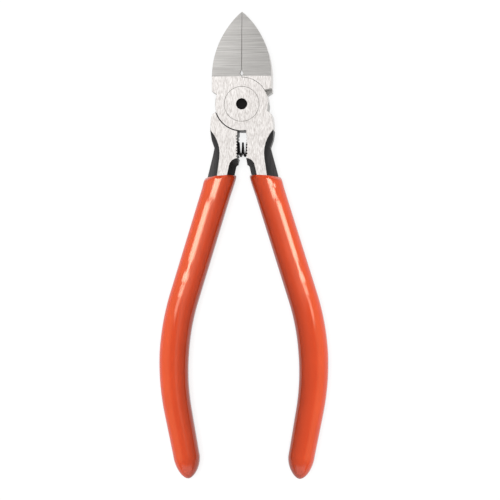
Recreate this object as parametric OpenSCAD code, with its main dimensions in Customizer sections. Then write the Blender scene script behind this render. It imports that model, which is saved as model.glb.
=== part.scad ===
// Diagonal cutting pliers, about 160 mm long, lying on their back with the jaws closed.
// The pivot runs along Z through the origin, the rear face of the joint is at z = 0,
// the blades point along +Y and the handles along -Y. Sizes are in millimetres.
// Each half crosses at the lap joint: the front half has the left blade and the right
// handle, the rear half has the right blade and the left handle.

/* [Head] */
// Thickness of the head at the joint
head_t = 9; // [7.5:0.1:11]
// Distance by which each side of the head stands out past the laps
jaw_out = 1.1; // [0.7:0.1:3]
// Distance from the laps' rim to the line where the ground blade facets start
base_gap = 0.4; // [0.3:0.1:2]
// Distance from the pivot to the blade tips
blade_reach = 32.2; // [26:0.1:39]
// Thickness of the blades at their tips
tip_t = 3.6; // [2.4:0.1:5]
// Gap between the closed cutting edges
seam_gap = 0.12; // [0.06:0.01:0.3]
// Depth of the flat land along each cutting edge
edge_land = 0.6; // [0.3:0.1:1.2]
// Slope of the hollow behind the cutting edges, from the seam
hollow_angle = 24; // [15:1:32]
// Width of the relief hole at the root of the cutting edges
relief_w = 1.3; // [0.5:0.1:1.8]
// Length of the relief hole
relief_l = 2.3; // [1:0.1:3]

/* [Joint] */
// Radius of the round laps that cross at the pivot
lap_r = 9.1; // [8:0.1:10.9]
// Gap between the two lap faces
lap_gap = 0.06; // [0.03:0.01:0.2]
// Gap between a lap's rim and the other half's blade
rim_gap = 0.12; // [0.08:0.02:0.4]
// Gap between a lap's rim and the other half's handle
hip_gap = 0.3; // [0.1:0.05:0.5]
// Height above the pivot of the line along which a blade ends over the other lap
shoulder_y = 2.9; // [2:0.1:4]
// Slope of that line
shoulder_angle = 13; // [0:1:25]
// Height above the pivot where a blade's side steps in to its own lap
step_y = 3.3; // [2:0.1:4]
// Slope of that step
step_angle = 33; // [25:1:55]
// Depth below the pivot where a handle's shoulder begins
hip_y = 2.6; // [2:0.1:4]
// Slope of the bevel at the top of that shoulder
hip_bevel = 45; // [30:1:60]
// Radius of the rivet's flush heads
rivet_head_r = 5.95; // [4.8:0.05:6.8]
// Radius of the rivet's shank
rivet_shank_r = 3; // [2.4:0.1:4]
// Depth of a rivet head, from its face to the shank
rivet_head_t = 1.9; // [1.2:0.1:2.6]
// Straight rim of a rivet head, before its cone
rivet_rim_t = 0.5; // [0.2:0.1:0.9]
// Running clearance around the rivet
rivet_gap = 0.06; // [0.03:0.01:0.1]
// Radius of the centre hole in each rivet head
rivet_eye_r = 1.9; // [1:0.1:2.2]
// Depth of the centre hole
rivet_eye_t = 1.4; // [0.6:0.1:2.4]

/* [Neck] */
// Distance by which a handle's shoulder stands out past the laps
hip_out = 1.7; // [1.4:0.1:3.5]
// Radius of the shoulders' outer curve
hip_r = 24; // [12:1:40]
// Height of the widest point of the shoulders above the laps' lower rim
hip_rise = 0.6; // [0.2:0.1:2.2]
// Depth below the laps of the corner under each shoulder
hip_drop = 3.3; // [2:0.1:4.2]
// Half of the width across the waist of the neck
waist_half_w = 9.6; // [9:0.1:12]
// Depth below the laps of the waist
waist_drop = 5.8; // [5:0.1:7.5]
// Radius of the outer edge of the ground faces, at the waist
face_r = 12; // [10:0.1:18]
// Depth below the laps of that radius's centre
face_drop = 7.9; // [7:0.1:9.5]
// Slope of the outer flanks below the ground faces
flank_angle = 38.5; // [20:0.5:39]
// Lean of the outer flanks from the middle line, below the waist
flank_lean = 8; // [4:0.5:14]
// Radius of the inner edge of the ground faces, below the slot
crotch_r = 3; // [2.4:0.1:5]
// Depth below the laps of that radius's centre
crotch_drop = 12.5; // [11.5:0.1:13]
// Slope of the inner flanks
crotch_angle = 25; // [10:1:26]
// Lean of the inner flanks from the middle line
crotch_lean = 12.5; // [8:0.5:16]
// Half of the neck's width, level across, where it enters the grip
neck_half_w = 4.6; // [4.3:0.1:5.5]
// Depth of the neck's full section inside the grip
neck_tail = 0.6; // [0.3:0.1:1]

/* [Slot] */
// Width of the slot between the closed handles
slot_w = 3; // [2.4:0.1:4]
// Length of the slot's straight walls below the laps
slot_l = 12.2; // [10.4:0.1:13]
// Depth below the laps of the first tooth
tooth_drop = 1.4; // [0.8:0.1:2]
// Pitch of the gripping teeth
tooth_pitch = 1; // [0.8:0.05:1.2]
// Depth of the gripping teeth
tooth_depth = 0.42; // [0.2:0.02:0.6]
// Number of teeth on each wall
tooth_count = 8; // [5:1:9]

/* [Spring] */
// Depth below the laps of the spring's axis
spring_drop = 6.2; // [5.4:0.1:7]
// Outer diameter of the spring
spring_d = 5.2; // [4.2:0.1:5.8]
// Diameter of the spring wire
wire_d = 0.7; // [0.5:0.05:0.85]
// Number of turns
spring_turns = 5; // [3:0.5:6]
// Angle round the spring's axis at which its wire starts
wire_start = 180; // [0:15:345]
// Radius of the bend into the straight ends of the wire
wire_bend_r = 0.7; // [0.5:0.05:1]
// Depth of each spring seat, from the slot's wall
seat_depth = 3.4; // [2.6:0.1:4.4]
// Radial clearance around the spring in its seats
seat_gap = 0.25; // [0.15:0.05:0.4]
// Clearance between the wire's ends and the floors of the seats
seat_end_gap = 0.02; // [0.01:0.01:0.1]

/* [Handles] */
// Angle of the straight handles from the middle line
handle_splay = 17.2; // [14:0.2:21]
// Distance from the pivot to the start of the bend
bend_start = 69; // [58:1:84]
// Radius of the bend, at the middle of the handle
bend_r = 81; // [65:1:100]
// Angle by which the ends turn back in
toe_in = 10.7; // [4:0.1:14]
// Length of a handle's middle line from the pivot to the end of its grip
handle_l = 131.8; // [120:0.1:160]
// Distance of the tang's sides and faces inside the neck's, at its root
tang_drop = 0.3; // [0.1:0.1:0.6]
// Depth of the tang's root inside the neck
tang_lap = 0.3; // [0.2:0.1:0.6]
// Width of the tang down to the middle of the bend
tang_w = 8.3; // [7:0.1:9]
// Width of the tang at its end
tang_end_w = 7.1; // [6:0.1:8]
// Thickness of the tang below the neck
tang_t = 8.2; // [7:0.1:9]
// Thickness of the tang at its end
tang_end_t = 7.6; // [6:0.1:8.4]
// Share of the tang's width that is flat, between its bevels
tang_flat = 0.5; // [0.3:0.05:0.6]
// Distance of the tang's end from the end of the grip
tang_short = 9; // [8.5:0.5:16]

/* [Grips] */
// Depth below the laps of the level line to which the handles are dipped
dip_drop = 15.4; // [14.6:0.1:18]
// Thickness of the dipped coat
coat = 0.95; // [0.6:0.05:1.6]
// Thickness of the coat at its lip
lip_coat = 0.35; // [0.2:0.05:0.6]
// Length below the lip over which the coat thickens
lip_l = 3; // [1:0.5:4]
// Length over which the section changes from the neck's, level, to an oval square to the handle
level_l = 6; // [5:0.5:12]
// Squareness of a grip's section along the handle, where 2 is an oval
grip_square = 2.2; // [2:0.1:3]
// Length of the rounded end
dome_l = 7.5; // [5:0.5:8]
// Fullness of the rounded end, where 2 is an oval
dome_full = 1.8; // [1.5:0.05:2.2]

/* [Hidden] */
$fn = 96;
steel = "silver";
dip_colour = "orangered";
// Overlap given to cutters that pass a face
over = 1;
// Lap thickness, and the curve of the blades: upright at the base, meeting at the tip
lap_z = head_t / 2 - lap_gap / 2;
head_half_w = lap_r + jaw_out;
blade_base = lap_r + base_gap;
blade_l = blade_reach - blade_base;
blade_r = (head_half_w ^ 2 + blade_l ^ 2) / (2 * head_half_w);
facet_angle = atan((head_t - tip_t) / 2 / blade_l);
// Share of the relief hole's length at which it is widest
relief_low = 0.4;
// Slot, shoulders and waist
slot_half = slot_w / 2;
slot_end_y = lap_r + slot_l;
tooth_top_y = lap_r + tooth_drop;
hip_x = lap_r + hip_out - hip_r;
hip_mid_y = lap_r - hip_rise;
hip_end_y = lap_r + hip_drop;
hip_end_x = hip_x + sqrt(hip_r ^ 2 - (hip_end_y - hip_mid_y) ^ 2);
waist_y = lap_r + waist_drop;
dip_y = lap_r + dip_drop;
// Level distances from a neck's flanks to the edges of its ground faces, at the dip line
flank_w = head_t / 2 * tan(flank_angle) / cos(flank_lean);
crotch_w = head_t / 2 * tan(crotch_angle) / cos(crotch_lean);
// Spring and its seats
spring_y = lap_r + spring_drop;
coil_r = (spring_d - wire_d) / 2;
seat_r = spring_d / 2 + seat_gap;
seat_x = slot_half + seat_depth;
spring_half = seat_x - seat_end_gap;
coil_l = 2 * (spring_half - wire_d - wire_bend_r);
curl_rings = 8;
wire_sides = 6;
bend_rings = 3;
// Handle path: straight from the pivot, an arc, and a straight end that turns in
bend_sweep = handle_splay + toe_in;
bend_end = bend_start + bend_r * bend_sweep * PI / 180;
bend_mid = (bend_start + bend_end) / 2;
bend_centre = bend_start * [sin(handle_splay), -cos(handle_splay)]
    - bend_r * [cos(handle_splay), sin(handle_splay)];
// Distances along that path: dip line, tang and rounded end
dip_s = dip_y / cos(handle_splay);
tang_start = dip_s - tang_lap;
tang_end = handle_l - tang_short;
dome_start = handle_l - dome_l;
bend_steps = 7;
flank_steps = 12;
lip_steps = 3;
corner_steps = 3;
dome_steps = 7;
// Angle of the last section of the rounded end, just short of its tip
dome_stop = 87;

// Direction of the handle's middle line at distance s, in degrees from straight down
function heading(s) =
    s <= bend_start ? handle_splay :
    s >= bend_end ? -toe_in :
    handle_splay - (s - bend_start) / bend_r * 180 / PI;

// Point on the middle line of the right handle at distance s from the pivot
function along(s) =
    s <= bend_start ? s * [sin(handle_splay), -cos(handle_splay)] :
    s <= bend_end ? bend_centre + bend_r * [cos(heading(s)), sin(heading(s))] :
    along(bend_end) - (s - bend_end) * [sin(toe_in), cos(toe_in)];

// Point beside the middle line: out from it and up from the middle plane, on a section that is
// level at the dip line and square to the handle further down
function beside(s, c) =
    let (a = heading(s) * levelled(s), p = along(s) + c[0] * [cos(a), sin(a)])
    [p.x, p.y, head_t / 2 + c[1]];

// Share of the change from the neck's level section to the handle's own, at distance s
function levelled(s) = max(0, min(1, (s - dip_s) / level_l));
function between(a, b, share) = a + (b - a) * share;

// Distances along the bend at which a section stands, short of distance last
function bend_stations(last) = [for (i = [0 : bend_steps])
    let (s = bend_start + (bend_end - bend_start) * i / bend_steps) if (s < last) s];

// Corners of the steel's section at distance s, moved out by grow: the neck's six faces,
// changing to a bar with bevelled sides
function steel(s, grow = 0) =
    let (
        b = levelled(s),
        w = between(neck_half_w, lookup(s, [[bend_mid, tang_w], [tang_end, tang_end_w]]) / 2, b),
        t = between(head_t, lookup(s, [[dip_s, tang_t], [tang_end, tang_end_t]]), b) / 2,
        out = between(neck_half_w - flank_w, w * tang_flat, b),
        in = between(neck_half_w - crotch_w, w * tang_flat, b)
    )
    [[w + grow, 0], [out, t + grow], [-in, t + grow], [-w - grow, 0], [-in, -t - grow], [out, -t - grow]];

// One section of a grip: the steel's with a coat of thickness c, rounded at its corners,
// which becomes a squared oval and is shrunk by k at the end
function grip_ring(s, c = coat, k = 1) =
    let (
        bar = steel(s),
        b = levelled(s),
        p = grip_square,
        side = [for (i = [0 : 5]) let (d = bar[(i + 1) % 6] - bar[i]) atan2(-d.x, d.y)]
    )
    [for (i = [0 : 5], j = [0 : corner_steps])
        let (
            a0 = side[(i + 5) % 6],
            turn = (side[i] - a0 + 720) % 360,
            a = a0 + turn * j / corner_steps,
            q = bar[i] + c * [cos(a), sin(a)],
            oval = (abs(q.x / (bar[0].x + c)) ^ p + abs(q.y / (bar[1].y + c)) ^ p) ^ (-1 / p)
        )
        beside(s, q * between(1, oval, b) * k)];

// Share of the full section that is left at fraction f of the rounded end
function dome_share(f) = (1 - f ^ dome_full) ^ (1 / dome_full);

// Triangles that join rings of n points each, closed by a fan at both ends
function skin(n, count) = concat(
    [for (i = [0 : count - 2], k = [0 : n - 1]) let (m = (k + 1) % n)
        each [[i * n + k, (i + 1) * n + k, (i + 1) * n + m], [i * n + k, (i + 1) * n + m, i * n + m]]],
    [for (k = [1 : n - 2]) each [[0, k, k + 1],
        [(count - 1) * n, (count - 1) * n + k + 1, (count - 1) * n + k]]]
);

module loft(rings) {
    polyhedron(
        points = [for (r = rings) each r],
        faces = skin(len(rings[0]), len(rings)),
        convexity = 6
    );
}

// Right blade: a curved back, ground facets front and rear, and the step down to its lap
module blade() {
    difference() {
        intersection() {
            linear_extrude(head_t) union() {
                translate([seam_gap / 2, step_y]) square([head_half_w - seam_gap / 2, blade_base - step_y]);
                intersection() {
                    translate([head_half_w - blade_r, blade_base]) circle(r = blade_r);
                    translate([seam_gap / 2, blade_base]) square([head_half_w, blade_l]);
                }
            }
            rotate([90, 0, 90]) linear_extrude(head_half_w + over) polygon([
                [0, 0], [blade_base, 0], [blade_reach, (head_t - tip_t) / 2],
                [blade_reach, (head_t + tip_t) / 2], [blade_base, head_t], [0, head_t]
            ]);
        }
        translate([sqrt(lap_r ^ 2 - step_y ^ 2), step_y, -over])
            rotate(step_angle)
            translate([0, -head_half_w, 0]) cube([head_half_w, head_half_w, head_t + 2 * over]);
        translate([0, shoulder_y, lap_z]) rotate(shoulder_angle)
            translate([0, -head_half_w, 0]) cube([2 * head_half_w, head_half_w, head_t]);
    }
}

// Zigzag cutter for the teeth on the right wall of the slot
module tooth_cutter() {
    translate([0, 0, -over]) linear_extrude(head_t + 2 * over) polygon(concat(
        [[slot_half - over, -tooth_top_y - tooth_count * tooth_pitch], [slot_half - over, -tooth_top_y]],
        [for (i = [0 : tooth_count - 1]) each [
            [slot_half, -tooth_top_y - i * tooth_pitch],
            [slot_half + tooth_depth, -tooth_top_y - (i + 0.5) * tooth_pitch]
        ]],
        [[slot_half, -tooth_top_y - tooth_count * tooth_pitch]]
    ));
}

// Outline of a flank's cutter at height z: a quarter round of radius r and a straight run below it
function flank_outline(r, lean, z) =
    let (foot = [dip_y * sin(lean) - r * cos(lean), -dip_y * cos(lean) - r * sin(lean)])
    concat(
        [for (i = [0 : flank_steps]) let (a = 90 + (90 + lean) * i / flank_steps)
            [r * cos(a), r * sin(a), z]],
        [[foot.x, foot.y, z], [0, foot.y, z]]
    );

// Cutter that pares a flank down from both faces to the middle plane, leaving on the faces
// an edge of radius r that runs on straight below, leaning from the middle line
module flank_cutter(r, angle, lean) {
    mid_r = r - head_t / 2 * tan(angle);
    over_r = r + over * tan(angle);
    loft([for (level = [[over_r, -over], [mid_r, head_t / 2], [over_r, head_t + over]])
        flank_outline(level[0], lean, level[1])]);
}

// Centre of that radius at depth y, for an edge that meets the dip line at x; side is 1 where
// the cutter lies outside the handle and -1 where it lies inside
function flank_centre(x, y, r, lean, side) =
    let (run = (dip_y - y - side * r * sin(lean)) / cos(lean))
    [x - run * sin(lean) + side * r * cos(lean), -y, 0];

// Neck of the right handle, from its shoulder to just inside the grip
module neck() {
    handle_x = along(dip_s).x;
    tail = along(dip_s + neck_tail);
    difference() {
        linear_extrude(head_t) union() {
            intersection() {
                translate([hip_x, -hip_mid_y]) circle(r = hip_r);
                translate([slot_half, -hip_end_y]) square([lap_r + hip_out, hip_end_y - hip_y]);
            }
            polygon([
                [slot_half, -hip_mid_y], [hip_end_x, -hip_mid_y], [hip_end_x, -hip_end_y],
                [waist_half_w, -waist_y], [tail.x + neck_half_w, tail.y],
                [tail.x - neck_half_w, tail.y], [slot_half, -slot_end_y]
            ]);
        }
        translate([lap_r - over, over - hip_y, -over])
            rotate(-hip_bevel) cube([2 * hip_r, hip_r, head_t + 2 * over]);
        translate(flank_centre(handle_x + neck_half_w - flank_w, lap_r + face_drop, face_r, flank_lean, 1))
            flank_cutter(face_r, flank_angle, flank_lean);
        translate(flank_centre(handle_x - neck_half_w + crotch_w, lap_r + crotch_drop, crotch_r,
                crotch_lean, -1))
            mirror([1, 0, 0]) flank_cutter(crotch_r, crotch_angle, -crotch_lean);
    }
}

// Steel of the right handle: its neck and the tang that runs on inside the grip
module handle() {
    neck();
    loft([for (s = concat([tang_start, dip_s + level_l], bend_stations(tang_end), [tang_end]))
        [for (c = steel(s, -tang_drop)) beside(s, c)]]);
}

// One half as forged and machined, but for the hollow behind its edge:
// right blade, rear lap and left handle, with the pocket for the other half's lap
module half_blank() {
    difference() {
        union() {
            blade();
            cylinder(r = lap_r, h = lap_z);
            mirror([1, 0, 0]) handle();
        }
        translate([0, 0, lap_z]) cylinder(r = lap_r + rim_gap, h = head_t);
        translate([0, 0, lap_z]) intersection() {
            cylinder(r = lap_r + hip_gap, h = head_t);
            translate([-head_half_w, -2 * head_half_w, 0]) cube([2 * head_half_w, 2 * head_half_w, head_t]);
        }
        rivet_seat();
        mirror([1, 0, 0]) tooth_cutter();
        translate([-seat_x, -spring_y, head_t / 2]) rotate([0, 90, 0]) cylinder(r = seat_r, h = seat_x);
    }
}

// The same half turned over about the middle line
module turned_over() {
    translate([0, 0, head_t]) rotate([0, 180, 0]) children();
}

// Countersunk seat and bore for the rivet, from the rear face
module rivet_seat() {
    rotate_extrude() polygon([
        [0, -over], [rivet_head_r + rivet_gap, -over], [rivet_head_r + rivet_gap, rivet_rim_t],
        [rivet_shank_r + rivet_gap, rivet_head_t], [rivet_shank_r + rivet_gap, head_t], [0, head_t]
    ]);
}

// Hollow ground behind the cutting edges, open to the rear, and the relief hole at its root
module edge_relief() {
    loft([for (y = [blade_base + relief_l / 2, blade_reach + over])
        let (
            roof = head_t - (y - blade_base) * tan(facet_angle) - edge_land / cos(facet_angle),
            w = (roof + over) * tan(hollow_angle)
        )
        [[0, y, roof], [w, y, -over], [-w, y, -over]]]);
    translate([0, blade_base, 0]) linear_extrude(head_t + over) polygon([
        [0, 0], [relief_w / 2, relief_l * relief_low], [0, relief_l], [-relief_w / 2, relief_l * relief_low]
    ]);
}

module rear_half() {
    color(steel) difference() {
        half_blank();
        edge_relief();
    }
}

module front_half() {
    color(steel) difference() {
        turned_over() half_blank();
        edge_relief();
    }
}

// Rivet with a flush head at both faces and a blind centre hole in each
module pivot_rivet() {
    color(steel) rotate_extrude() polygon([
        [0, rivet_eye_t], [rivet_eye_r, rivet_eye_t], [rivet_eye_r, 0],
        [rivet_head_r, 0], [rivet_head_r, rivet_rim_t], [rivet_shank_r, rivet_head_t],
        [rivet_shank_r, head_t - rivet_head_t], [rivet_head_r, head_t - rivet_rim_t],
        [rivet_head_r, head_t], [rivet_eye_r, head_t],
        [rivet_eye_r, head_t - rivet_eye_t], [0, head_t - rivet_eye_t]
    ]);
}

// Place, direction and radial of the spring wire at angle a of the helix along X
function coil_radial(a) = [0, cos(a + wire_start), sin(a + wire_start)];
function coil_tangent(a) = [0, -sin(a + wire_start), cos(a + wire_start)];
function coil_point(a) = [coil_l * (a / (360 * spring_turns) - 0.5), 0, 0] + coil_r * coil_radial(a);

// Bend from the helix at angle a into the straight end, side -1 left or +1 right,
// at b degrees of the bend
function end_point(a, side, b) = coil_point(a) + side * wire_bend_r
    * (sin(b) * coil_tangent(a) + (1 - cos(b)) * [1, 0, 0]);
function end_direction(a, b) = cos(b) * coil_tangent(a) + sin(b) * [1, 0, 0];

// The wire from its left end to its right end: [point, direction, radial] at each ring
last_angle = 360 * spring_turns;
wire_path = concat(
    [[end_point(0, -1, 90) - [wire_d, 0, 0], [1, 0, 0], coil_radial(0)]],
    [for (i = [bend_rings : -1 : 1]) let (b = 90 * i / bend_rings)
        [end_point(0, -1, b), end_direction(0, b), coil_radial(0)]],
    [for (i = [0 : curl_rings * spring_turns]) let (a = 360 * i / curl_rings)
        [coil_point(a), coil_tangent(a), coil_radial(a)]],
    [for (i = [1 : bend_rings]) let (b = 90 * i / bend_rings)
        [end_point(last_angle, 1, b), end_direction(last_angle, b), coil_radial(last_angle)]],
    [[end_point(last_angle, 1, 90) + [wire_d, 0, 0], [1, 0, 0], coil_radial(last_angle)]]
);
wire_gap = min([for (i = [0 : len(wire_path) - 1], j = [i + curl_rings / 2 : 1 : len(wire_path) - 1])
    norm(wire_path[i][0] - wire_path[j][0])]) - wire_d;
echo("Least gap between turns of the spring", wire_gap);

// Compression spring between the handles, seated in both
module handle_spring() {
    color("dimgray") translate([0, -spring_y, head_t / 2]) loft([for (w = wire_path) [
        for (k = [0 : wire_sides - 1]) let (a = 360 * k / wire_sides)
            w[0] + wire_d / 2 * (cos(a) * w[2] + sin(a) * cross(w[1], w[2]))
    ]]);
}

// Dipped grip on the right handle: an even coat that follows the bend and rounds off at the end
module grip() {
    difference() {
        loft(concat(
            [for (i = [0 : lip_steps]) let (a = 90 * i / lip_steps)
                grip_ring(dip_s + lip_l * (1 - cos(a)), between(lip_coat, coat, sin(a)))],
            [for (s = concat([dip_s + (lip_l + level_l) / 2, dip_s + level_l], bend_stations(dome_start)))
                grip_ring(s)],
            [for (i = [0 : dome_steps]) let (f = sin(dome_stop * i / dome_steps))
                grip_ring(dome_start + dome_l * f, k = dome_share(f))]
        ));
        handle();
    }
}

module right_grip() {
    color(dip_colour) turned_over() mirror([1, 0, 0]) grip();
}

module left_grip() {
    color(dip_colour) mirror([1, 0, 0]) grip();
}

front_half();
rear_half();
pivot_rivet();
handle_spring();
right_grip();
left_grip();
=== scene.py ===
"""Diagonal cutting pliers with dipped grips, lying closed on a pale floor.

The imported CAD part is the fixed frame. Lengths here are millimetres until a mesh, lamp or
camera is made, which is in metres. The pivot is the Z axis and the blades point along +Y.
"""

import bmesh
import bpy
import numpy as np
from mathutils import Matrix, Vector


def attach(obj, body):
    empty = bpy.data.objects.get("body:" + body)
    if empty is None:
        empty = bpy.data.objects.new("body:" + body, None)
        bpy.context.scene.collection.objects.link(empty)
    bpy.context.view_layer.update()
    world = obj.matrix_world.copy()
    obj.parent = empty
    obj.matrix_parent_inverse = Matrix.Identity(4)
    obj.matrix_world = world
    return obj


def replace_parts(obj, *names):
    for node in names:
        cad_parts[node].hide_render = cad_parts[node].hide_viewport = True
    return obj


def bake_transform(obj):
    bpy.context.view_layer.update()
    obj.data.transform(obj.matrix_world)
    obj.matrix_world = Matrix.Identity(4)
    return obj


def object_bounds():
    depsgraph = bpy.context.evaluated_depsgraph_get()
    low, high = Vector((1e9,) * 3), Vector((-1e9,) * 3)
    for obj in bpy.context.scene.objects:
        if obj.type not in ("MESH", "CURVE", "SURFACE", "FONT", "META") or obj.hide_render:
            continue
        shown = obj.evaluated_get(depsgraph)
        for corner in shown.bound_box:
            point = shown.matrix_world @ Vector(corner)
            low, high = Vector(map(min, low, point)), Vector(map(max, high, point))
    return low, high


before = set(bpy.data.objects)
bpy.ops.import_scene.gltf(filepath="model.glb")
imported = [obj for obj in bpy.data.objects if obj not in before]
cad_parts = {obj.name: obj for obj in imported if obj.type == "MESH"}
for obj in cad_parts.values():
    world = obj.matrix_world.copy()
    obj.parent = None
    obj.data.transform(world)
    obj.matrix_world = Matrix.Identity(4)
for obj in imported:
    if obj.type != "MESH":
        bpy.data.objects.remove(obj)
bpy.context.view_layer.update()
MM = 0.001


# Forged halves: two alike drop forgings of alloy tool steel, one turned over on the other.
# The joint faces are ground flat together, the blades ground across, and the necks left black.
# Each is the CAD solid with its sharp edges broken by tumbling.
HEAD_T, LAP_R, BLADE_BASE_Y = 9, 9.1, 9.5
MIDDLE_Z = HEAD_T / 2
EDGE_BREAK, FIT_BREAK, SEAM_BREAK = 0.06, 0.015, 0.13
SEAM_ZONE, SEAM_SHUT = 0.066, 0.05
FITTED_FROM_Y, FITTED_ZONE = 2, 0.25
SHARP = np.radians(28)


def linear(code):
    """sRGB hex to linear colour, by the sRGB curve."""
    srgb = np.array([int(code[i:i + 2], 16) for i in (0, 2, 4)]) / 255
    return (*np.where(srgb <= 0.04045, srgb / 12.92, ((srgb + 0.055) / 1.055) ** 2.4), 1)


def add(tree, kind, inputs=None, **settings):
    """Adds a shader node: settings are its own properties, and an input, by name or number,
    takes a value or another node's output socket."""
    made = tree.nodes.new("ShaderNode" + kind)
    for name, value in settings.items():
        setattr(made, name, value)
    for key, value in (inputs or {}).items():
        if isinstance(value, bpy.types.NodeSocket):
            tree.links.new(value, made.inputs[key])
        else:
            made.inputs[key].default_value = value
    return made


def finish_named(name):
    """A new material, its node tree, its shader's inputs and the surface's own coordinates."""
    material = bpy.data.materials.new(name)
    material.use_nodes = True
    tree = material.node_tree
    place = add(tree, "TexCoord").outputs["Object"]
    return material, tree, tree.nodes["Principled BSDF"].inputs, place


# Surface-ground steel: bright and even, with short upright strokes of the wheel that cross a little
# and a faint mottle. The strokes are drawn coarser than real ones so that they show.
STROKE_W, STROKE_L, STROKE_TURN = 0.26, 1.2, 0.16
MOTTLE, MOTTLE_SHARE = 1.6, 0.15
ground_face, tree, shader, place = finish_named("surface_ground_steel")
strokes = []
for turn in (STROKE_TURN, -STROKE_TURN):
    lay = add(tree, "Mapping", {"Vector": place, "Rotation": (0, 0, turn),
              "Scale": (1 / (STROKE_W * MM), 1 / (STROKE_L * MM), 1 / (STROKE_W * MM))})
    strokes.append(add(tree, "TexNoise", {"Vector": lay.outputs[0], "Scale": 1, "Detail": 2}))
mottle = add(tree, "TexNoise", {"Vector": place, "Scale": 1 / (MOTTLE * MM), "Detail": 3})
stroke = add(tree, "Math", {0: strokes[0].outputs[0], 1: strokes[1].outputs[0]})
both = add(tree, "Math", {0: mottle.outputs[0], 1: MOTTLE_SHARE, 2: stroke.outputs[0]},
           operation="MULTIPLY_ADD")
share = add(tree, "MapRange", {"Value": both.outputs[0], "From Min": 0.73, "From Max": 1.31})
tone = add(tree, "Mix", {0: share.outputs[0], 6: linear("CEC8C4"), 7: linear("FAF6F3")},
           data_type="RGBA")
gloss = add(tree, "MapRange", {"Value": stroke.outputs[0], "From Max": 2, "To Min": 0.5,
            "To Max": 0.36})
bump = add(tree, "Bump", {"Height": stroke.outputs[0], "Distance": 0.004 * MM, "Strength": 0.5})
shader["Metallic"].default_value = 1
tree.links.new(tone.outputs[2], shader["Base Color"])
tree.links.new(gloss.outputs[0], shader["Roughness"])
tree.links.new(bump.outputs[0], shader["Normal"])

# Steel ground along one line, with fine long marks of the wheel: on the blades, across them, a grey
# satin; on the sides, round them, a brighter one. The marks are drawn coarser than real ones.
LINE_W, LINE_L = 0.24, 12
lined = []
for name, widths, dark, pale in (
        ("cross_ground_steel", (LINE_L, LINE_W, LINE_L), "AEABA8", "D8D6D3"),
        ("belt_ground_steel", (LINE_L, LINE_L, LINE_W), "D6D2CE", "FAF7F4")):
    ground, tree, shader, place = finish_named(name)
    lay = add(tree, "Mapping", {"Vector": place, "Scale": [1 / (width * MM) for width in widths]})
    stroke = add(tree, "TexNoise", {"Vector": lay.outputs[0], "Scale": 1, "Detail": 4,
                 "Roughness": 0.6})
    share = add(tree, "MapRange", {"Value": stroke.outputs[0], "From Min": 0.3, "From Max": 0.7})
    tone = add(tree, "Mix", {0: share.outputs[0], 6: linear(dark), 7: linear(pale)},
               data_type="RGBA")
    bump = add(tree, "Bump", {"Height": stroke.outputs[0], "Distance": 0.003 * MM, "Strength": 0.4})
    shader["Metallic"].default_value = 1
    shader["Roughness"].default_value = 0.42
    tree.links.new(tone.outputs[2], shader["Base Color"])
    tree.links.new(bump.outputs[0], shader["Normal"])
    lined.append(ground)

# Milled steel of the laps and pockets: duller, with the cutter's coarse marks. Its darker tone is
# partly painted shade in these recesses, and it is put on the jaws' undersides as painted shade.
MILL_W, MILL_H = 0.7, 4
milled_and_shade, tree, shader, place = finish_named("milled_steel_painted_shade")
lay = add(tree, "Mapping", {"Vector": place,
          "Scale": (1 / (MILL_W * MM), 1 / (MILL_W * MM), 1 / (MILL_H * MM))})
stroke = add(tree, "TexNoise", {"Vector": lay.outputs[0], "Scale": 1, "Detail": 3})
tone = add(tree, "Mix", {0: stroke.outputs[0], 6: linear("9A9895"), 7: linear("D2D0CC")},
           data_type="RGBA")
bump = add(tree, "Bump", {"Height": stroke.outputs[0], "Distance": 0.006 * MM, "Strength": 0.5})
shader["Metallic"].default_value = 1
shader["Roughness"].default_value = 0.45
tree.links.new(tone.outputs[2], shader["Base Color"])
tree.links.new(bump.outputs[0], shader["Normal"])

# Black oxide left on the forging: charcoal with a low sheen, streaked along the neck by the belt
# that dressed it before blackening. Between the handles it stays dark; on the outside a paler band
# is painted towards the ridge at the middle of the thickness, a painted reflection of the floor.
STREAK_W, STREAK_L = 0.6, 6
RIDGE, FACE_SIDE = 0.8, 3.8
oxides = []
for name, reflection_peak, sheen in (("black_oxide_steel", 0.03, 0.15), ("rubbed_oxide_steel", 0.47, 0.3)):
    oxide, tree, shader, place = finish_named(name)
    lay = add(tree, "Mapping", {"Vector": place,
              "Scale": (1 / (STREAK_W * MM), 1 / (STREAK_L * MM), 1 / (STREAK_W * MM))})
    grain = add(tree, "TexNoise", {"Vector": lay.outputs[0], "Scale": 1, "Detail": 4})
    patchy = add(tree, "MapRange", {"Value": grain.outputs[0], "From Min": 0.3, "From Max": 0.7,
                 "To Min": 0.4, "To Max": 1.6})
    height = add(tree, "SeparateXYZ", {0: place})
    height = add(tree, "Math", {0: height.outputs["Z"], 1: MIDDLE_Z * MM}, operation="SUBTRACT")
    height = add(tree, "Math", {0: height.outputs[0]}, operation="ABSOLUTE")
    # Painted reflection of the floor: paler from the faces towards the middle of the thickness
    painted_reflection = add(tree, "MapRange", {"Value": height.outputs[0], "From Min": FACE_SIDE * MM,
                 "From Max": RIDGE * MM, "To Min": 0.03, "To Max": reflection_peak})
    share = add(tree, "Math", {0: painted_reflection.outputs[0], 1: patchy.outputs[0]}, operation="MULTIPLY")
    tone = add(tree, "Mix", {0: share.outputs[0], 6: linear("0B090A"), 7: linear("7A7576")},
               data_type="RGBA")
    bump = add(tree, "Bump", {"Height": grain.outputs[0], "Distance": 0.02 * MM, "Strength": 0.5})
    shader["Roughness"].default_value = 0.42
    shader["Specular IOR Level"].default_value = sheen
    tree.links.new(tone.outputs[2], shader["Base Color"])
    tree.links.new(bump.outputs[0], shader["Normal"])
    oxides.append(oxide)


def in_scene(name, data):
    """New object of a mesh, lamp or camera, linked to the scene."""
    made = bpy.data.objects.new(name, data)
    bpy.context.scene.collection.objects.link(made)
    return made


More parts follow.
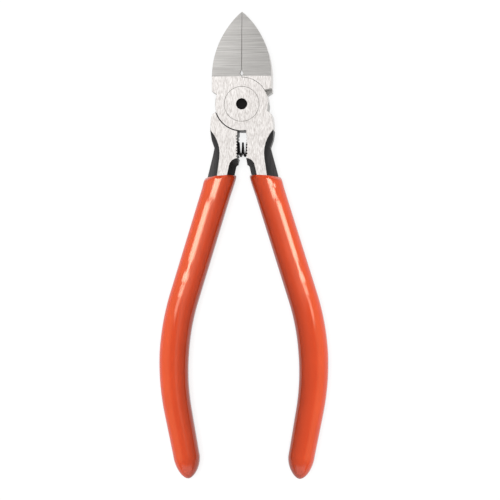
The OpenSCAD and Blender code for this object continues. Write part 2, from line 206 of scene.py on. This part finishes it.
def show(name, mesh, finishes, node):
    """Object of a finished mesh, in the place of its CAD node, with its materials."""
    made = in_scene(name, mesh)
    for finish in finishes:
        mesh.materials.append(finish)
    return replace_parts(made, node)


def read(items, field, width, kind=float):
    """Array of one field of a mesh's vertices, edges, corners or faces, a row for each."""
    values = np.zeros(len(items) * width, kind)
    items.foreach_get(field, values)
    return values.reshape(-1, width)


# Limits that tell the faces apart: a cosine to level, to a round side and to an underside, and
# how far a face may stand from the middle plane or the lap's circle
LEVEL, ROUND_SIDE, UNDERSIDE = 0.98, 0.95, -0.5
MIDDLE_ZONE, LAP_ZONE, LAP_TOP_Y = 0.3, 0.3, 0.5
# Below these heights the sides are black oxide; on the lap's round side already from higher up, as
# painted shade at the lap's lower end
BLACK_FROM_Y, LAP_SHADE_Y = -9, -5
WELD, SHORT_EDGE, ONE_PLANE = 0.001, 0.09, np.radians(0.3)
GROUND, CROSS, BELT, MILLED_AND_SHADE, BLACK, OXIDE_PAINTED_REFLECTION = range(6)
for name, body in (("front_half", "front"), ("rear_half", "rear")):
    work = bmesh.new()
    work.from_mesh(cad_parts[name].data)
    bmesh.ops.remove_doubles(work, verts=work.verts, dist=WELD * MM)
    bmesh.ops.dissolve_degenerate(work, dist=SHORT_EDGE * MM, edges=work.edges)
    bmesh.ops.dissolve_limit(work, angle_limit=ONE_PLANE, verts=work.verts, edges=work.edges)
    mesh = bpy.data.meshes.new(name + "_forging")
    work.to_mesh(mesh)
    work.free()
    point, ends = read(mesh.vertices, "co", 3) / MM, read(mesh.edges, "vertices", 2, np.int32)
    normal, centre = read(mesh.polygons, "normal", 3), read(mesh.polygons, "center", 3) / MM

    # Sharp edges get a bevel: narrow where the lap turns in its pocket, wide on the cutting edges.
    # The corners sorted by their edge give the two faces at each edge of the closed solid
    corners = read(mesh.polygons, "loop_total", 1, np.int32)[:, 0]
    face = np.repeat(np.arange(len(corners)), corners)
    order = np.argsort(read(mesh.loops, "edge_index", 1, np.int32)[:, 0])
    pair = normal[face[order]].reshape(-1, 2, 3)
    sharp = (pair[:, 0] * pair[:, 1]).sum(-1) < np.cos(SHARP)
    at_seam = (np.abs(point[:, 0]) < SEAM_ZONE) & (point[:, 1] > BLADE_BASE_Y)
    middle = point[ends].mean(1)
    off_lap = np.abs(np.hypot(middle[:, 0], middle[:, 1]) - LAP_R)
    fitted = (middle[:, 1] > FITTED_FROM_Y) & (off_lap < FITTED_ZONE)
    width = np.select([at_seam[ends].all(1), fitted], [SEAM_BREAK, FIT_BREAK], EDGE_BREAK)
    weight = mesh.attributes.new("bevel_weight_edge", "FLOAT", "EDGE")
    weight.data.foreach_set("value", sharp * width / SEAM_BREAK)

    # The cutting edges are drawn together
    point[:, 0] -= np.sign(point[:, 0]) * at_seam * SEAM_SHUT
    mesh.vertices.foreach_set("co", (point * MM).ravel())
    half = show(name + "_forging", mesh, (ground_face, *lined, milled_and_shade, *oxides),
                name)

    # Faces that look up or down are surface ground, and past the blades' base ground across. The
    # neck's sides are black, with a painted reflection of the floor on the outside; the lap's round
    # side is black from higher up, painted shade at its lower end. Sides that face out are belt
    # ground, and the laps and pockets keep the mill's darker finish, which is partly painted shade
    # there and is painted shade on the jaws' undersides
    x, y = centre[:, 0], centre[:, 1]
    away = np.hypot(x, y)
    facing = (normal[:, 0] * x + normal[:, 1] * y) / away
    flat = np.abs(normal[:, 2]) > LEVEL
    outer = np.abs(centre[:, 2] - MIDDLE_Z) > MIDDLE_ZONE
    lap_side = (np.abs(away - LAP_R) < LAP_ZONE) & (y < LAP_TOP_Y) & (np.abs(facing) > ROUND_SIDE)
    # The lap's round side is black from higher up: painted shade at its lower end
    black = np.where(lap_side, y < LAP_SHADE_Y, y < BLACK_FROM_Y)
    between = lap_side | (normal[:, 0] * x < 0)
    # Jaws' undersides: given the mill's darker tone as painted shade
    under_painted_shade = (normal[:, 1] < UNDERSIDE) & (y > 0)
    finish = np.select(
        [flat & (y > BLADE_BASE_Y), flat & outer, black & between, black,
         (facing > 0) & ~flat & ~lap_side & ~under_painted_shade],
        [CROSS, GROUND, BLACK, OXIDE_PAINTED_REFLECTION, BELT], MILLED_AND_SHADE)
    mesh.polygons.foreach_set("material_index", finish.astype(np.int32))
    mesh.shade_smooth()
    mesh.set_sharp_from_angle(angle=SHARP)
    broken = half.modifiers.new("edges", "BEVEL")
    broken.width = SEAM_BREAK * MM
    broken.segments = 2
    broken.limit_method = "WEIGHT"
    broken.use_clamp_overlap = False
    even = half.modifiers.new("shading", "WEIGHTED_NORMAL")
    even.keep_sharp = True
    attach(half, body)


# Pivot rivet: a turned steel pin, headed flush into both countersinks and ground with the faces.
# Its blind centre holes stay black from the heat of heading.
RIVET_R, SHANK_R, EYE_R, EYE_DEPTH = 5.95, 3, 1.9, 1.4
HEAD_RIM, HEAD_DEPTH, RIVET_BREAK, EYE_FILLET = 0.5, 1.9, 0.04, 0.1
AROUND, EYE_ROWS = 128, 3


def grid_mesh(name, rings):
    """Mesh of an array of rings (rings x points x 3, in mm): each ring closes on itself,
    neighbours are joined by quads, and the end rings are filled by a point at their middle."""
    rows, around = rings.shape[:2]
    at = np.arange(rows * around).reshape(rows, around)
    nxt = np.roll(at, -1, 1)
    quads = np.stack([at[:-1], nxt[:-1], nxt[1:], at[1:]], -1).reshape(-1, 4)
    points = [rings.reshape(-1, 3), rings[0].mean(0)[None], rings[-1].mean(0)[None]]
    first = np.full(around, rows * around)
    fans = np.concatenate([np.stack([first, nxt[0], at[0]], -1),
                           np.stack([first + 1, at[-1], nxt[-1]], -1)])
    mesh = bpy.data.meshes.new(name)
    mesh.from_pydata(np.concatenate(points) * MM, [], quads.tolist() + fans.tolist())
    mesh.shade_smooth()
    return mesh


# Half of the profile, from the floor of the front eye out and round to the middle of the shank
eye_floor = HEAD_T - EYE_DEPTH
profile = np.array([
    [EYE_R / 2, eye_floor], [EYE_R - EYE_FILLET, eye_floor],
    [EYE_R, eye_floor + EYE_FILLET], [EYE_R, HEAD_T - RIVET_BREAK],
    [EYE_R + RIVET_BREAK, HEAD_T], [RIVET_R - RIVET_BREAK, HEAD_T],
    [RIVET_R, HEAD_T - RIVET_BREAK], [RIVET_R, HEAD_T - HEAD_RIM],
    [SHANK_R, HEAD_T - HEAD_DEPTH]])
profile = np.concatenate([profile, (profile * [1, -1] + [0, HEAD_T])[::-1]])
turn = 2 * np.pi * np.arange(AROUND) / AROUND
rings = np.stack([profile[:, :1] * np.cos(turn), profile[:, :1] * np.sin(turn),
                  profile[:, 1:] + 0 * turn], -1)
mesh = grid_mesh("rivet_pin", rings)
finish = np.zeros(len(mesh.polygons), np.int32)
finish[:EYE_ROWS * AROUND] = 1
finish[(len(profile) - 1 - EYE_ROWS) * AROUND:] = 1
mesh.set_sharp_from_angle(angle=SHARP)

# Scorched steel of the eyes: near black and dull.
SCALE_GRAIN = 0.6
scorched, tree, shader, place = finish_named("scorched_steel")
grain = add(tree, "TexNoise", {"Vector": place, "Scale": 1 / (SCALE_GRAIN * MM), "Detail": 3})
tone = add(tree, "Mix", {0: grain.outputs[0], 6: linear("0E0C0B"), 7: linear("211D1B")},
           data_type="RGBA")
tree.links.new(tone.outputs[2], shader["Base Color"])
shader["Roughness"].default_value = 0.6
shader["Specular IOR Level"].default_value = 0.2
rivet = show("rivet_pin", mesh, (ground_face, scorched), "pivot_rivet")
mesh.polygons.foreach_set("material_index", finish)
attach(rivet, "front")


# Handle spring: five turns of music wire between the handles, its straight ends standing in a
# blind seat in each. It is oil-black.
SPRING_Y, SPRING_Z, COIL_R, WIRE_R, TURNS = -15.3, 4.5, 2.25, 0.35, 5
SPRING_HALF, WIRE_BEND, WIRE_START = 4.88, 0.7, np.pi
TURN_RINGS, WIRE_SIDES, BEND_RINGS = 32, 14, 8


def wire_run(angle, bend, side):
    """Points and directions of the wire: a helix along X at an angle, then at side -1 or 1 a bend,
    in radians, from its tangent into the axis."""
    coil_l = 2 * (SPRING_HALF - 2 * WIRE_R - WIRE_BEND)
    zero = 0 * angle
    out = np.stack([zero, np.cos(angle + WIRE_START), np.sin(angle + WIRE_START)], -1)
    tangent = np.cross([1, 0, 0], out)
    axis = np.array([1.0, 0, 0])
    point = (coil_l * (angle / (2 * np.pi * TURNS) - 0.5))[:, None] * axis + COIL_R * out
    sin, cos = np.sin(bend)[:, None], np.cos(bend)[:, None]
    point = point + side * WIRE_BEND * (sin * tangent + (1 - cos) * axis)
    return point, cos * tangent + sin * axis, out


last = 2 * np.pi * TURNS
bend = np.linspace(0, np.pi / 2, BEND_RINGS + 1)[1:]
angle = np.linspace(0, last, TURNS * TURN_RINGS + 1)
runs = [wire_run(0 * bend, bend[::-1], -1), wire_run(angle, 0 * angle, 1),
        wire_run(0 * bend + last, bend, 1)]
point, along, out = (np.concatenate(part) for part in zip(*runs))
tip = np.array([2 * WIRE_R, 0, 0])
point = np.concatenate([point[:1] - tip, point, point[-1:] + tip])
along, out = (np.concatenate([part[:1], part, part[-1:]]) for part in (along, out))
around = 2 * np.pi * np.arange(WIRE_SIDES) / WIRE_SIDES
rings = point[:, None] + WIRE_R * (np.cos(around)[:, None] * out[:, None]
                                   + np.sin(around)[:, None] * np.cross(along, out)[:, None])
mesh = grid_mesh("spring_wire", rings + [0, SPRING_Y, SPRING_Z])
mesh.set_sharp_from_angle(angle=SHARP)

# Oil-blackened music wire: smooth, almost black, with a soft sheen along the coil.
OIL_GRAIN = 0.8
music_wire, tree, shader, place = finish_named("oil_black_wire")
grain = add(tree, "TexNoise", {"Vector": place, "Scale": 1 / (OIL_GRAIN * MM), "Detail": 2})
tone = add(tree, "Mix", {0: grain.outputs[0], 6: linear("1B191A"), 7: linear("373435")},
           data_type="RGBA")
tree.links.new(tone.outputs[2], shader["Base Color"])
shader["Roughness"].default_value = 0.36
spring = show("spring_wire", mesh, (music_wire,), "handle_spring")
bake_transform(spring)


# Grips: a coat of PVC plastisol that the handles were dipped in, tips first, and cured on.
# It follows the forged bar, thins to a soft lip at the dip line and draws to a rounded end.
SPLAY, TOE = np.radians(17.2), np.radians(10.7)
BEND_START, BEND_R, HANDLE_L = 69, 81, 131.8
DIP_Y, LEVEL_L = 24.5, 6
NECK_HALF_W, FLANK, FLANK_LEAN, CROTCH, CROTCH_LEAN = 4.6, 38.5, 8, 25, 12.5
TANG_W, TANG_T, TANG_FLAT, TANG_SHORT, TANG_DROP = (8.3, 7.1), (8.2, 7.6), 0.5, 9, 0.3
COAT, LIP_COAT, LIP_THIN, LIP_L, LIP_SLOPE = 0.95, 0.35, 0.4, 1.2, 0.075
SQUARE, ROUND_L, LIP_ROUND = 2.2, 1.6, 0.35
DOME_L, DOME_FULL, DOME_DRIFT = 7.5, 1.75, 0.6
CORNER_POINTS, FACE_POINTS = 8, 12
BORE_RINGS, LIP_RINGS, LEVEL_RINGS, BODY_RINGS, DOME_RINGS = 60, 12, 10, 120, 28
DIP_S = DIP_Y / np.cos(SPLAY)
BEND_END = BEND_START + BEND_R * (SPLAY + TOE)
TANG_END = HANDLE_L - TANG_SHORT


def handle_line(s):
    """Middle line of the right handle at distances s from the pivot, and its heading from
    straight down: a straight, an arc about a centre inside it, and a straight that turns in."""
    heading = SPLAY - (np.clip(s, BEND_START, BEND_END) - BEND_START) / BEND_R
    down = np.array([np.sin(SPLAY), -np.cos(SPLAY)])
    centre = BEND_START * down - BEND_R * np.array([np.cos(SPLAY), np.sin(SPLAY)])
    line = centre + BEND_R * np.stack([np.cos(heading), np.sin(heading)], -1)
    line += np.minimum(s - BEND_START, 0)[:, None] * down
    line -= np.maximum(s - BEND_END, 0)[:, None] * np.array([np.sin(TOE), np.cos(TOE)])
    return line, heading


def coat_rings(s, grow, coat, thin, shrink, rounded, drift):
    """Sections of the right grip at distances s. The bar, thinned by thin at the lip, has six
    corners. Moved out by grow, each gets an arc of radius coat, and the faces are filled with
    points. The rounded share of that outline becomes a squared oval, and shrink scales it. Over
    the level length the section turns smoothly from level, with a lip that slopes to the
    outside, to square with the handle. The drift moves it outwards."""
    line, heading = handle_line(s)
    line += drift[:, None] * np.stack([np.cos(heading), np.sin(heading)], -1)
    share = np.clip((s - DIP_S) / LEVEL_L, 0, 1)[:, None]
    share = share ** 2 * (3 - 2 * share)

    def blended(at_lip, on_handle):
        """From a size at the lip to one on the handle, by the share."""
        return at_lip + (on_handle - at_lip) * share[:, 0]

    flank_w = HEAD_T / 2 * np.tan(np.radians(FLANK)) / np.cos(np.radians(FLANK_LEAN))
    crotch_w = HEAD_T / 2 * np.tan(np.radians(CROTCH)) / np.cos(np.radians(CROTCH_LEAN))
    w = blended(NECK_HALF_W, np.interp(s, ((BEND_START + BEND_END) / 2, TANG_END), TANG_W) / 2)
    t = blended(HEAD_T - 2 * thin, np.interp(s, (DIP_S, TANG_END), TANG_T)) / 2
    far = blended(NECK_HALF_W - flank_w, w * TANG_FLAT)
    near = blended(NECK_HALF_W - crotch_w, w * TANG_FLAT)
    zero = 0 * s
    corner = np.stack([
        np.stack([w + grow, zero], -1), np.stack([far, t + grow], -1),
        np.stack([-near, t + grow], -1), np.stack([-w - grow, zero], -1),
        np.stack([-near, -t - grow], -1), np.stack([far, -t - grow], -1)], 1)
    side = np.roll(corner, -1, 1) - corner
    face = np.arctan2(-side[..., 0], side[..., 1])
    before = np.roll(face, 1, 1)
    turn = (face - before) % (2 * np.pi)
    step = np.linspace(0, 1, CORNER_POINTS)
    a = before[..., None] + turn[..., None] * step
    arc = corner[:, :, None] + coat[:, None, None, None] * np.stack([np.cos(a), np.sin(a)], -1)
    step = np.linspace(0, 1, FACE_POINTS + 2)[1:-1, None]
    fill = arc[:, :, -1:] + (np.roll(arc, -1, 1)[:, :, :1] - arc[:, :, -1:]) * step
    ring = np.concatenate([arc, fill], 2).reshape(len(s), -1, 2)
    half = np.stack([w + grow + coat, t + grow + coat], -1)[:, None]
    oval = (np.abs(ring / half) ** SQUARE).sum(-1) ** (-1 / SQUARE)
    ring = ring * (1 + (oval - 1) * rounded[:, None])[..., None] * shrink[:, None, None]
    lean = (heading * share[:, 0])[:, None]
    return np.stack([line[:, :1] + ring[..., 0] * np.cos(lean),
                     line[:, 1:] + ring[..., 0] * (np.sin(lean) - LIP_SLOPE * (1 - share)),
                     HEAD_T / 2 + ring[..., 1]], -1)


# The coat's own path: up the inside along the tang and over its step to the neck, over the lip,
# down the outside and round the end
FIT = 0.02
TANG_STOP, NECK_START = (1.2, 0.7), (0.65, 0.3)
tang_bore = np.concatenate([np.linspace(TANG_END + FIT, DIP_S + LEVEL_L, BORE_RINGS),
                            DIP_S + np.array(TANG_STOP)])
neck_bore = DIP_S + np.array(NECK_START)
lip = np.radians(np.linspace(0, 90, LIP_RINGS))
outside = np.concatenate([DIP_S + np.linspace(LIP_L, LEVEL_L, LEVEL_RINGS)[1:],
                          np.linspace(DIP_S + LEVEL_L, HANDLE_L - DOME_L, BODY_RINGS)[1:]])
dome = np.sin(np.radians(np.linspace(0, 89, DOME_RINGS)))[1:]
s = np.concatenate([tang_bore, neck_bore, DIP_S + LIP_L * (1 - np.cos(lip)), outside,
                    HANDLE_L - DOME_L * (1 - dome)])
rows = [len(part) for part in (tang_bore, neck_bore, lip, outside, dome)]
grow = np.repeat([-TANG_DROP, 0, 0, 0, 0], rows)
coat = np.repeat([FIT, FIT, LIP_COAT, COAT, COAT], rows)
coat[sum(rows[:2]):sum(rows[:3])] += (COAT - LIP_COAT) * np.sin(lip)
shrink = np.append(np.ones(sum(rows[:4])), (1 - dome ** DOME_FULL) ** (1 / DOME_FULL))
rounded = np.clip((s - DIP_S) / ROUND_L, 0, 1)
rounded = (LIP_ROUND + (1 - LIP_ROUND) * rounded ** 2 * (3 - 2 * rounded)) * (coat > FIT)
drift = DOME_DRIFT * np.clip((s - HANDLE_L) / DOME_L + 1, 0, 1) ** 2
thin = LIP_THIN * np.clip((coat - LIP_COAT) / (COAT - LIP_COAT), 0, 1)
rings = coat_rings(s, grow, coat, thin, shrink, rounded, drift)

# Dip-moulded PVC: saturated orange with a wet gloss, a slow unevenness from the dip and fine
# pores in the skin.
SAG, PORE = 9, 0.7
plastisol, tree, shader, place = finish_named("dip_moulded_pvc")
sag = add(tree, "TexNoise", {"Vector": place, "Scale": 1 / (SAG * MM), "Detail": 1})
pore = add(tree, "TexNoise", {"Vector": place, "Scale": 1 / (PORE * MM), "Detail": 3})
tone = add(tree, "Mix", {0: sag.outputs[0], 6: linear("D74820"), 7: linear("E25128")},
           data_type="RGBA")
gloss = add(tree, "MapRange", {"Value": pore.outputs[0], "To Min": 0.03, "To Max": 0.05})
low = add(tree, "Bump", {"Height": sag.outputs[0], "Distance": 0.25 * MM, "Strength": 0.04})
fine = add(tree, "Bump", {"Height": pore.outputs[0], "Distance": 0.004 * MM, "Strength": 0.02,
           "Normal": low.outputs[0]})
tree.links.new(tone.outputs[2], shader["Base Color"])
tree.links.new(gloss.outputs[0], shader["Roughness"])
tree.links.new(fine.outputs[0], shader["Normal"])
shader["IOR"].default_value = 1.53

grips = {}
for name, body, side in (("right_grip", "front", 1), ("left_grip", "rear", -1)):
    mesh = grid_mesh(name + "_coat", rings * [side, 1, 1])
    if side < 0:
        mesh.flip_normals()
    grips[name] = show(name + "_coat", mesh, (plastisol,), name)
    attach(grips[name], body)


# Floor, camera and light: a white table in an evenly lit room, seen from above the handles. Each
# lamp is a soft box that lights some of the pieces alone: large ones for the steel and the
# grips' shade, and long ones for the streak of light on each grip.
FLOOR_HALF, FIBRE = 3000, 1.5
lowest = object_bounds()[0].z
mesh = bpy.data.meshes.new("floor")
corners = [(x * FLOOR_HALF * MM, y * FLOOR_HALF * MM, lowest)
           for x, y in ((-1, -1), (1, -1), (1, 1), (-1, 1))]
mesh.from_pydata(corners, [], [(0, 1, 2, 3)])
floor = in_scene("floor", mesh)

# White paper: matt, and shown as white to the eye and in reflections, with a faint shadow left.
PAPER_GLOW = 0.78
paper, tree, shader, place = finish_named("white_paper")
fibre = add(tree, "TexNoise", {"Vector": place, "Scale": 1 / (FIBRE * MM), "Detail": 2})
tone = add(tree, "Mix", {0: fibre.outputs[0], 6: linear("E6E6E6"), 7: linear("EAEAEA")},
           data_type="RGBA")
seen = add(tree, "LightPath").outputs
tone = add(tree, "Mix", {0: seen["Is Camera Ray"], 6: linear("868686"), 7: tone.outputs[2]},
           data_type="RGBA")
tree.links.new(tone.outputs[2], shader["Base Color"])
shader["Roughness"].default_value = 0.9
shader["Specular IOR Level"].default_value = 0.1
glow = add(tree, "Emission", {"Color": (1, 1, 1, 1), "Strength": 1})
mirrored = add(tree, "Math", {0: seen["Is Glossy Ray"], 1: seen["Is Transmission Ray"]},
               operation="MAXIMUM")
part = add(tree, "Math", {0: seen["Is Camera Ray"], 1: PAPER_GLOW, 2: mirrored.outputs[0]},
           operation="MULTIPLY_ADD")
whole = add(tree, "MixShader", {0: part.outputs[0], 1: tree.nodes["Principled BSDF"].outputs[0],
            2: glow.outputs[0]})
tree.links.new(whole.outputs[0], tree.nodes["Material Output"].inputs["Surface"])
mesh.materials.append(paper)


def stand(made, axes, at):
    """Puts a camera or lamp at a place in mm, its own X, Y and Z along the columns of axes."""
    made.matrix_world = Matrix([[*row, x * MM] for row, x in zip(axes, at)] + [[0, 0, 0, 1]])


# Camera: its lens set for a square picture, 500 pixels across
YAW, PITCH, ROLL = np.radians([5.0, 2.0, 0.185])
DISTANCE, PIXELS_PER_MM, FRAME_PX = 600, 2.915, 500
TARGET = np.array([2.324, -49.832, 4.5])
camera = bpy.data.cameras.new("camera")
camera.sensor_width = 36
camera.lens = camera.sensor_width * PIXELS_PER_MM * DISTANCE / FRAME_PX
camera.clip_start, camera.clip_end = 0.01, 20
viewer = in_scene("camera", camera)
bpy.context.scene.camera = viewer
back = np.array([np.sin(YAW) * np.cos(PITCH), -np.sin(PITCH), np.cos(YAW) * np.cos(PITCH)])
right = np.array([np.cos(YAW), 0, -np.sin(YAW)])
up = np.cross(back, right)
right, up = np.cos(ROLL) * right - np.sin(ROLL) * up, np.sin(ROLL) * right + np.cos(ROLL) * up
eye = TARGET + DISTANCE * back
stand(viewer, np.stack([right, up, back], -1), eye)

ROOM_LIGHT = 0.36
world = bpy.data.worlds.new("studio")
world.use_nodes = True
bpy.context.scene.world = world
room = world.node_tree.nodes["Background"].inputs
room["Strength"].default_value = ROOM_LIGHT
room["Color"].default_value = (1, 1, 1, 1)


def light_only(lamp, pieces):
    """Links a lamp to the pieces that it lights alone."""
    lamp.light_linking.receiver_collection = bpy.data.collections.new(lamp.name)
    for piece in pieces:
        lamp.light_linking.receiver_collection.objects.link(piece)


def soft_box(name, at, aim, run, size, radiance, lights, tint="FFFFFF", glossy=True, diffuse=True,
             fade=None):
    """Area lamp of a given size, in mm, at a place and aimed at a point, its second side along
    run. Its power is its radiance times pi times its area. The fade gives the shares of its size
    over which it dims to its first edge across, to the other, and to both of its ends. It lights
    some pieces alone, by gloss, by diffuse or both."""
    lamp = bpy.data.lights.new(name, "AREA")
    lamp.shape = "RECTANGLE"
    lamp.size, lamp.size_y = size[0] * MM, size[1] * MM
    lamp.energy = radiance * np.pi * lamp.size * lamp.size_y
    lamp.color = linear(tint)[:3]
    if fade:
        lamp.use_nodes = True
        tree = lamp.node_tree
        place = add(tree, "SeparateXYZ", {0: add(tree, "NewGeometry").outputs["Parametric"]}).outputs
        lit = 1
        first, other, ends = fade
        for axis, edge, share in ((0, 0, first), (0, 1, other), (1, 0, ends), (1, 1, ends)):
            inner = edge + (share + NO_FADE) * (1 - 2 * edge)
            dim = add(tree, "MapRange", {"Value": place[axis], "From Min": edge, "From Max": inner},
                      interpolation_type="SMOOTHSTEP")
            lit = add(tree, "Math", {0: lit, 1: dim.outputs[0]}, operation="MULTIPLY").outputs[0]
        tree.links.new(lit, tree.nodes["Emission"].inputs["Strength"])
    made = in_scene(name, lamp)
    back = np.array(at, float) - aim
    back /= np.linalg.norm(back)
    across = np.cross(run, back)
    across /= np.linalg.norm(across)
    stand(made, np.stack([across, np.cross(back, across), back], -1), at)
    made.visible_camera = False
    made.visible_glossy = glossy
    made.visible_diffuse = diffuse
    light_only(made, lights)


# Lamps over the whole tool: the sun for the table's white and the shadow, one large box for the
# steel and one for the grips' shade, a board past the grips' ends and a small box by the head
NO_FADE, BOARD_FADE = 0.001, (0.3, 0.3, 0.3)
SUN, SUN_SPREAD = 2.75, np.radians(30)
SHEET, END_BOARD, HEAD_BOX = (900, 840), (1200, 640), (40, 40)
halves = [bpy.data.objects[name] for name in ("front_half_forging", "rear_half_forging")]
steel = [*halves, rivet, spring, floor]
table_lamp = in_scene("table_lamp", bpy.data.lights.new("table_lamp", "SUN"))
table_lamp.data.energy = SUN
table_lamp.data.angle = SUN_SPREAD
light_only(table_lamp, [floor])
soft_box("overhead", (0, -120, 900), (0, -120, 0), (0, 1, 0), SHEET, 1.0, steel)
soft_box("grip_fill", (0, -60, 900), (0, -60, 0), (0, 1, 0), SHEET, 0.29, grips.values(),
         glossy=False)
soft_box("end_board", (0, -620, 240), (0, -125, 5), (0, 0, 1), END_BOARD, 1.0, grips.values(),
         diffuse=False, fade=BOARD_FADE)
soft_box("head_left", (-40, 60, 75), (-4, 12, 9), (0, 1, 0), HEAD_BOX, 2.5, [*halves, rivet])

# The streak of light on a grip is broken, so it takes several strips, from the lip down. Each is
# placed by its mirror image on top of the handle: the distances from the pivot where it starts and
# ends, and the slope of the coat, in degrees, that shows it
STRIP_AWAY, STREAK_CUT, CUT_HALF = 488, 36, 0.6
STRIP_TINT, BOARD_TINT = "FFF0D6", "FFE2A6"
SIDE_BOARD, SIDE_BOX = (800, 800), (320, 360)
CORE, TAIL, HALO = (0.35, 0.35, 0), (0.4, 0.4, 0.4), (0, 1, 0.2)
for side, grip in ((-1, grips["left_grip"]), (1, grips["right_grip"])):
    down = np.array([side * np.sin(SPLAY), -np.cos(SPLAY), 0])
    outward = np.array([side * np.cos(SPLAY), np.sin(SPLAY), 0])
    lean = np.arctan2(eye @ outward, eye[2] - HEAD_T)
    away = np.hypot(eye @ outward, eye[2] - HEAD_T)
    for start, end, width, slope, radiance, fade in (
            (20, STREAK_CUT - CUT_HALF, 400, 9, 13, CORE),
            (STREAK_CUT + CUT_HALF, 58.3, 415, 16.5, 13, CORE),
            (58.3, 61.8, 190, 15, 13, CORE),
            (62.1, 65.6, 430, 16.5, 14, CORE),
            (66.6, 71, 320, 16, 7, CORE),
            (64, 97 + 9 * side, 230, 15, 5, TAIL),
            (20, 80, 560, -1, 1.7, HALO)):
        tilt = 2 * np.radians(slope) + lean
        reach = np.array([start, end]) * (1 + STRIP_AWAY / away) - eye @ down * STRIP_AWAY / away
        middle = reach.sum() / 2 * down + [0, 0, HEAD_T]
        at = middle + STRIP_AWAY * (np.sin(tilt) * outward + [0, 0, np.cos(tilt)])
        soft_box(f"strip_{side}", at, middle, side * down, (width, reach[1] - reach[0]), radiance,
                 [grip], STRIP_TINT, fade=fade)
    soft_box(f"board_{side}", (side * 400, -60, 250), (side * 20, -60, 5), (0, 1, 0), SIDE_BOARD,
             0.85, [grip], BOARD_TINT, fade=BOARD_FADE)
    lit = [grip] if side > 0 else [grip, halves[1]]
    soft_box(f"side_{side}", (side * 350, 30, 215 - 25 * side), (side * 20, -60, 5), (0, 1, 0),
             SIDE_BOX, 0.55, lit, glossy=False)

bpy.context.scene.view_settings.view_transform = "Standard"
